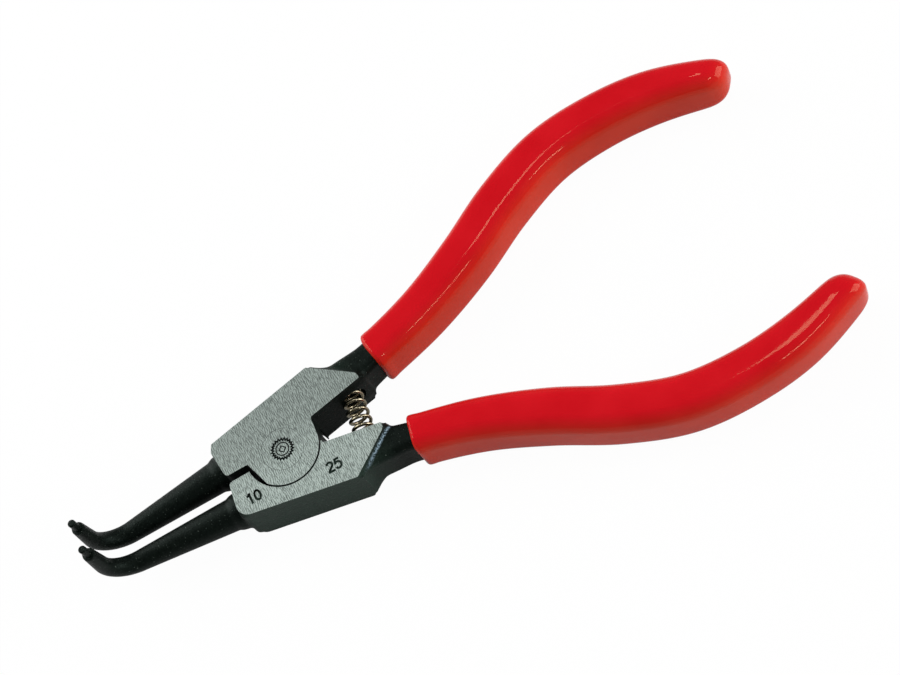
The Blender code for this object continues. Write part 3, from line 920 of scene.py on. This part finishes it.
def lever(name, side, node, body):
    """One lever: the forging, ground and machined, with its pin, the bar in its sleeve and its numbers."""
    place = Matrix.Identity(4) if side > 0 else HALF_TURN
    forging = forging_mesh(name, side)
    core = core_mesh(f"{name}_core", side)
    recess = prism(f"{name}_recess", recess_outline(), -OUTSIDE, MIDDLE + LAP_GAP / 2)
    top = grinding_wheel(f"{name}_top", JOINT_THICKNESS, JOINT_THICKNESS + 2 * FACE_DEPTH)
    underside = grinding_wheel(f"{name}_underside", -2 * FACE_DEPTH, 0)
    pocket = spring_pocket(f"{name}_pocket", side)
    for mesh in (forging, core, recess, top, underside, pocket):
        mesh.transform(place)
    hole = turned(f"{name}_hole", rivet_profile(RIVET_CLEARANCE, OUTSIDE))
    pin = pin_mesh(f"{name}_pin", side)
    steps = [("DIFFERENCE", mesh) for mesh in (top, underside, recess, pocket, hole)]
    steps += [("UNION", pin), ("UNION", core)]
    if side < 0:
        steps += [("DIFFERENCE", number_mesh(text, middle)) for text, middle in NUMBERS]
    obj = worked(add_object(name, forging), steps)
    smooth_by_angle(obj)
    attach(obj, body)
    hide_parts(node)
    return obj


def paint_ground(obj, black, ground):
    """Ground faces get bright steel, the rest stays black."""
    obj.data.materials.clear()
    obj.data.materials.append(black)
    obj.data.materials.append(ground)
    heights = [vertex.co.z for vertex in obj.data.vertices]
    for face in obj.data.polygons:
        low = min(heights[i] for i in face.vertices)
        high = max(heights[i] for i in face.vertices)
        underside = max(abs(low), abs(high)) < GROUND_TOLERANCE
        top = max(abs(low - JOINT_THICKNESS), abs(high - JOINT_THICKNESS)) < GROUND_TOLERANCE
        face.material_index = 1 if underside or top else 0


def around(radii, count):
    """A closed line through points at these radii in turn, evenly round the pivot."""
    points = []
    for i in range(count + 1):
        a = 2 * math.pi * (i % count) / count
        radius = radii[i % len(radii)]
        points.append((radius * math.cos(a), radius * math.sin(a)))
    return points


def rivet(name):
    """The rivet, flush in both ground faces, with its staking mark in the upper end."""
    head = RIVET_HEAD_DIAMETER / 2
    profile = [
        (head - RIVET_EDGE, JOINT_THICKNESS),
        (head, JOINT_THICKNESS - RIVET_EDGE),
        *rivet_profile(0.0, 0.0)[1:-1],
        (head, RIVET_EDGE),
        (head - RIVET_EDGE, 0),
    ]
    lines = [
        (around([STAKE_SQUARE / math.sqrt(2)], 4), STAKE_WIDTH),
        (around([STAKE_RING_RADIUS], ROUND_STEPS // 2), STAKE_WIDTH),
        (around(STAKE_TEETH_RADII, 2 * STAKE_TEETH), STAKE_TEETH_WIDTH),
    ]
    steps = []
    for line, width in lines:
        steps.append(("DIFFERENCE", stroke_mesh(f"{name}_stake", line, width, STAKE_DEPTH)))
    obj = worked(add_object(name, turned(name, profile)), steps)
    smooth_by_angle(obj)
    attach(obj, "upper_half")
    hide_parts("pivot_rivet")
    return obj


def spring(name):
    """The coil between the pockets' floors, whose last turn at each end lies closed."""
    wire_radius = SPRING_WIRE / 2
    coil_radius = SPRING_DIAMETER / 2 - wire_radius
    clear = SPRING_END_GAP + wire_radius
    upper_x, upper_wall = spring_end(1)
    lower_x, lower_wall = spring_end(-1)
    low = -(lower_wall + POCKET_DEPTH - clear)
    high = upper_wall + POCKET_DEPTH - clear
    turns = (high - low - 2 * SPRING_CLOSED_RISE) / SPRING_PITCH + 2
    steps = round(turns * COIL_STEPS)
    points = []
    for i in range(steps + 1):
        turn = turns * i / steps
        if turn < 1:
            y = low + SPRING_CLOSED_RISE * turn
        elif turn > turns - 1:
            y = high - SPRING_CLOSED_RISE * (turns - turn)
        else:
            y = low + SPRING_CLOSED_RISE + SPRING_PITCH * (turn - 1)
        a = math.radians(SPRING_START_ANGLE) + 2 * math.pi * turn
        axis_x = lower_x + (upper_x - lower_x) * (y - low) / (high - low)
        points.append((axis_x + coil_radius * math.cos(a), y, MIDDLE + coil_radius * math.sin(a)))
    obj = add_object(name, wire_mesh(name, points, wire_radius))
    smooth_by_angle(obj)
    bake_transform(obj)
    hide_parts("return_spring")
    return obj


def sleeve(name, side, node, body):
    """The dipped sleeve as one skin: its outside, the lip at the mouth and the inside over the bar."""
    start = distance_at_x(GRIP_MOUTH_X)
    end = distance_at_x(HANDLE_END_X)
    grow = GRIP_FIT + GRIP_WALL - SLEEVE_MARGIN
    outside = handle_rings(start, end, grow, side, GRIP_MOUTH_SLANT, lip=True)
    inside = handle_rings(start, end - GRIP_END_WALL, SLEEVE_INSIDE, side, GRIP_MOUTH_SLANT)
    mesh = with_shifted_nose(loft(name, inside[::-1] + outside[1:]), side)
    if side < 0:
        mesh.transform(HALF_TURN)
    obj = add_object(name, mesh)
    smooth_by_angle(obj)
    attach(obj, body)
    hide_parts(node)
    return obj


# Materials


class Paint:
    """A material in the making, whose methods add nodes and return the socket of their result."""

    def __init__(self, name):
        self.material = bpy.data.materials.new(name)
        self.material.use_nodes = True
        self.tree = self.material.node_tree
        self.shader = self.tree.nodes["Principled BSDF"]

    def fill(self, node, inputs):
        """Gives a node's inputs what they take: a socket is linked, and anything else is set."""
        for key, value in inputs.items():
            if isinstance(value, bpy.types.NodeSocket):
                self.tree.links.new(value, node.inputs[key])
            else:
                node.inputs[key].default_value = value

    def node(self, kind, inputs, **settings):
        """A new node with these settings and inputs."""
        made = self.tree.nodes.new(kind)
        for key, value in settings.items():
            setattr(made, key, value)
        self.fill(made, inputs)
        return made

    def point(self, output="Object"):
        """The point in the model's frame, or the surface's normal there."""
        return self.node("ShaderNodeTexCoord", {}).outputs[output]

    def along(self, axis, output="Object"):
        """One coordinate of the point or of the normal."""
        return self.node("ShaderNodeSeparateXYZ", {"Vector": self.point(output)}).outputs[axis]

    def math(self, operation, *values):
        """A sum done on numbers and grey values."""
        return self.node("ShaderNodeMath", dict(enumerate(values)), operation=operation).outputs[0]

    def noise(self, scale, detail=0, stretch=(1, 1, 1)):
        """Soft clouds or grain, finer along an axis with a larger stretch."""
        mapping = self.node("ShaderNodeMapping", {"Vector": self.point(), "Scale": stretch})
        inputs = {"Vector": mapping.outputs["Vector"], "Scale": scale, "Detail": detail}
        return self.node("ShaderNodeTexNoise", inputs).outputs["Fac"]

    def belt_marks(self, scale, frequency, evenness):
        """Fine lines along Y, as a grinding belt leaves them."""
        inputs = {
            "Vector": self.point(),
            "Scale": scale,
            "Frequency": frequency,
            "Anisotropy": evenness,
            "Orientation": 0.0,
        }
        return self.node("ShaderNodeTexGabor", inputs, gabor_type="2D").outputs["Value"]

    def ramp(self, source, shades, start=SOFT_START, end=SOFT_END):
        """From the first colour to the second as the source goes from start to end."""
        made = self.node("ShaderNodeValToRGB", {"Fac": source})
        for element, place, colour in zip(made.color_ramp.elements, (start, end), shades):
            element.position = place
            element.color = (*colour, 1)
        return made.outputs["Color"]

    def spread(self, source, low, high, start=SOFT_START, end=SOFT_END):
        """From low to high as the source goes from start to end."""
        inputs = {"Value": source, "From Min": start, "From Max": end, "To Min": low, "To Max": high}
        return self.node("ShaderNodeMapRange", inputs).outputs["Result"]

    def fade(self, source, start, end):
        """From 0 at the start to 1 at the end."""
        return self.spread(source, 0.0, 1.0, start, end)

    def product(self, result, *others):
        """All the factors multiplied together."""
        for factor in others:
            result = self.math("MULTIPLY", result, factor)
        return result

    def mix(self, first, second, share, data_type="FLOAT"):
        """The first grey value or colour with this share of the second."""
        inputs = {"Factor": share, "A": first, "B": second}
        return self.node("ShaderNodeMix", inputs, data_type=data_type).outputs["Result"]

    def shaded(self, colour, value):
        """The colour times a grey value."""
        return self.node("ShaderNodeHueSaturation", {"Color": colour, "Value": value}).outputs["Color"]

    def bump(self, source, distance, strength):
        """The normal of a surface that rises and falls with the source."""
        inputs = {"Height": source, "Distance": distance, "Strength": strength}
        return self.node("ShaderNodeBump", inputs).outputs["Normal"]

    def finished(self, inputs):
        """The material, once its shader has these inputs."""
        self.fill(self.shader, inputs)
        return self.material


def ground_steel():
    """Ground on a belt: fine marks along Y, speckle and soft patches, darker on the upper lever."""
    paint = Paint("ground_steel")
    scratches = paint.noise(scale=8000, stretch=(1, 0.15, 1))
    speckle = paint.noise(scale=9000)
    marks = paint.belt_marks(scale=1600, frequency=1.8, evenness=0.9)
    fine = paint.mix(marks, paint.mix(scratches, speckle, share=0.5), share=0.6)
    surface = paint.mix(fine, paint.noise(scale=300, detail=2), share=0.04)
    steel = paint.ramp(surface, GROUND_SHADES, start=0.43, end=0.57)
    darkening = paint.spread(paint.along("Y"), 1.0, GROUND_DARKENING, *GROUND_DARKENING_Y)
    return paint.finished({
        "Base Color": paint.shaded(steel, darkening),
        "Metallic": 0.4,
        "Roughness": paint.spread(fine, low=0.36, high=0.56),
        "Normal": paint.bump(fine, distance=0.00003, strength=0.4),
    })


def milled_share_with_painted_shade(paint):
    """How far the forging's side is milled: on the joint's outer sides, from the block's front to its rear
    end, with painted shade on the inner wall, which keeps the darker forged colour.
    """
    x = paint.along("X")
    out = paint.math("ABSOLUTE", paint.along("Y"))
    return paint.product(
        paint.fade(x, BLOCK_FRONT_X, BLOCK_FRONT_X + JAW_FLARE_LENGTH),
        paint.spread(x, 1.0, 0.0, BLOCK_REAR_X, REAR_TIP_X),
        # Painted shade: only the outer sides take the milled colour, so the inner wall between the levers
        # stays dark
        paint.fade(out, REAR_CORNER_Y - JAW_FLARE_LENGTH, REAR_CORNER_Y),
    )


def painted_foot_highlight(paint):
    """Where a painted highlight lies along the foot of the lower plate's rear slope."""
    slope = Vector((BLOCK_REAR_Y - REAR_CORNER_Y, REAR_CORNER_X - BLOCK_REAR_X)).normalized()
    across = paint.math("MULTIPLY", paint.along("X"), slope.x)
    behind = paint.math("MULTIPLY_ADD", paint.along("Y"), -slope.y, across)
    edge = BLOCK_REAR_X * slope.x + BLOCK_REAR_Y * slope.y
    near, far = (edge + share * NECK_FILLET for share in FOOT_BAND)
    softness = FOOT_SOFTNESS * NECK_FILLET
    bar_top = JOINT_THICKNESS - FACE_DEPTH
    return paint.product(
        paint.fade(behind, near, near + softness),
        paint.spread(behind, 1.0, 0.0, far - softness, far),
        paint.fade(paint.along("Z"), bar_top - FACE_DEPTH / 2, bar_top),
        paint.fade(paint.along("X"), *FOOT_REACH),
    )


def black_steel():
    """Phosphated and oiled: near black with a fine grain, grey-green on the joint's milled sides, with
    painted shade on the inner wall and a painted highlight at the lower plate's rear foot.
    """
    paint = Paint("black_phosphate")
    grain = paint.noise(scale=4500, detail=2)
    pits = paint.noise(scale=1400, detail=2)
    surface = paint.mix(grain, pits, share=0.4)
    forged = paint.ramp(surface, FORGED_SHADES)
    milled = paint.ramp(surface, MILLED_SHADES)
    colour = paint.mix(forged, milled, milled_share_with_painted_shade(paint), "RGBA")
    specks = paint.fade(paint.noise(scale=5200), start=0.78, end=0.83)
    dusty = paint.mix(colour, paint.ramp(pits, DUST_SHADES), specks, "RGBA")
    # Painted highlight: a pale blue-grey strip at the foot of the lower plate's rear slope
    foot_highlight = paint.ramp(grain, FOOT_HIGHLIGHT_SHADES, start=0.4, end=0.58)
    return paint.finished({
        "Base Color": paint.mix(dusty, foot_highlight, painted_foot_highlight(paint), "RGBA"),
        "Specular IOR Level": 0.09,
        "Specular Tint": (0.75, 1.0, 0.88, 1),
        "Roughness": paint.spread(surface, low=0.32, high=0.55),
        "Normal": paint.bump(surface, distance=0.00012, strength=0.7),
    })


def spring_steel():
    """Tempered wire, oil brown."""
    paint = Paint("spring_steel")
    streaks = paint.noise(scale=3000, detail=2)
    return paint.finished({
        "Base Color": paint.ramp(streaks, SPRING_SHADES),
        "Metallic": 1.0,
        "Roughness": 0.26,
    })


def red_plastic():
    """Glossy dipped plastic with faint clouds, and painted light that makes its steep sides a little more
    orange.
    """
    paint = Paint("red_plastic")
    cloud = paint.noise(scale=120, detail=3)
    upright = paint.math("ABSOLUTE", paint.along("Z", "Normal"))
    steepness = paint.spread(upright, 1.0, 0.0, start=0.1, end=0.97)
    flat = paint.ramp(cloud, RED_FLAT_SHADES)
    # Painted light: the steep sides take a more orange red
    steep_painted_light = paint.ramp(cloud, RED_STEEP_PAINTED_LIGHT_SHADES)
    ripple = paint.noise(scale=400, detail=2)
    return paint.finished({
        "Base Color": paint.mix(flat, steep_painted_light, steepness, "RGBA"),
        "Roughness": 0.07,
        "Specular IOR Level": 0.14,
        "Specular Tint": (1.0, 0.86, 0.55, 1),
        "Normal": paint.bump(ripple, distance=0.00004, strength=0.25),
    })


# Stage


def floor():
    """A pale floor that looks white to the camera and keeps the object's shadow."""
    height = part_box("lower_grip")[0].z - FLOOR_GAP
    signs = ((-1, -1), (1, -1), (1, 1), (-1, 1))
    corners = [(x * FLOOR_REACH, y * FLOOR_REACH, height) for x, y in signs]
    mesh = bpy.data.meshes.new("floor")
    mesh.from_pydata(corners, [], [(0, 1, 2, 3)])
    obj = add_object("floor", mesh)
    paint = Paint("pale_floor")
    glow = paint.node("ShaderNodeEmission", {"Strength": 1.0})
    path = paint.node("ShaderNodeLightPath", {})
    seen = paint.math("MULTIPLY", path.outputs["Is Camera Ray"], FLOOR_GLOW_SEEN)
    share = paint.math("MULTIPLY_ADD", path.outputs["Is Glossy Ray"], FLOOR_GLOW_MIRRORED, seen)
    lit = paint.shader.outputs["BSDF"]
    mixed = paint.node("ShaderNodeMixShader", {"Fac": share, 1: lit, 2: glow.outputs["Emission"]})
    paint.fill(paint.tree.nodes["Material Output"], {"Surface": mixed.outputs["Shader"]})
    mesh.materials.append(paint.finished({"Base Color": (*FLOOR_COLOUR, 1), "Roughness": 0.9}))


def lamp(name, place, size, power):
    """A soft rectangular lamp aimed at the object."""
    data = bpy.data.lights.new(name, "AREA")
    data.shape = "RECTANGLE"
    data.size, data.size_y = size
    data.energy = power
    obj = bpy.data.objects.new(name, data)
    obj.location = place
    obj.rotation_euler = (Vector(LAMP_TARGET) - Vector(place)).to_track_quat("-Z", "Y").to_euler()
    bpy.context.scene.collection.objects.link(obj)


def lights():
    """The lamps, and an even white light from all round."""
    for row in LAMPS:
        lamp(*row)
    world = bpy.data.worlds.new("studio")
    world.use_nodes = True
    sky = world.node_tree.nodes["Background"]
    sky.inputs["Color"].default_value = (1, 1, 1, 1)
    sky.inputs["Strength"].default_value = WORLD_STRENGTH
    bpy.context.scene.world = world


def camera():
    """The photograph's point of view."""
    data = bpy.data.cameras.new("camera")
    data.lens = CAMERA_LENS
    data.sensor_width = CAMERA_SENSOR
    data.shift_x, data.shift_y = (pixels / IMAGE_WIDTH for pixels in CAMERA_SHIFT_PIXELS)
    data.clip_start = CAMERA_CLIP_START
    obj = bpy.data.objects.new("camera", data)
    obj.location = CAMERA_PLACE
    turn = Euler([math.radians(a) for a in CAMERA_TURN]).to_matrix()
    roll = Matrix.Rotation(math.radians(CAMERA_ROLL), 3, "Z")
    obj.rotation_euler = (turn @ roll).to_euler()
    bpy.context.scene.collection.objects.link(obj)
    bpy.context.scene.camera = obj


def build():
    """All the pieces with their materials, and the stage round them."""
    black = black_steel()
    ground = ground_steel()
    red = red_plastic()
    brown = spring_steel()
    paint_ground(lever("upper_lever_forging", 1, "upper_lever", "upper_half"), black, ground)
    paint_ground(lever("lower_lever_forging", -1, "lower_lever", "lower_half"), black, ground)
    paint_ground(rivet("rivet"), black, ground)
    spring("spring").data.materials.append(brown)
    sleeve("upper_sleeve", 1, "upper_grip", "upper_half").data.materials.append(red)
    sleeve("lower_sleeve", -1, "lower_grip", "lower_half").data.materials.append(red)
    floor()
    lights()
    camera()
    bpy.context.scene.view_settings.view_transform = "Standard"


build()
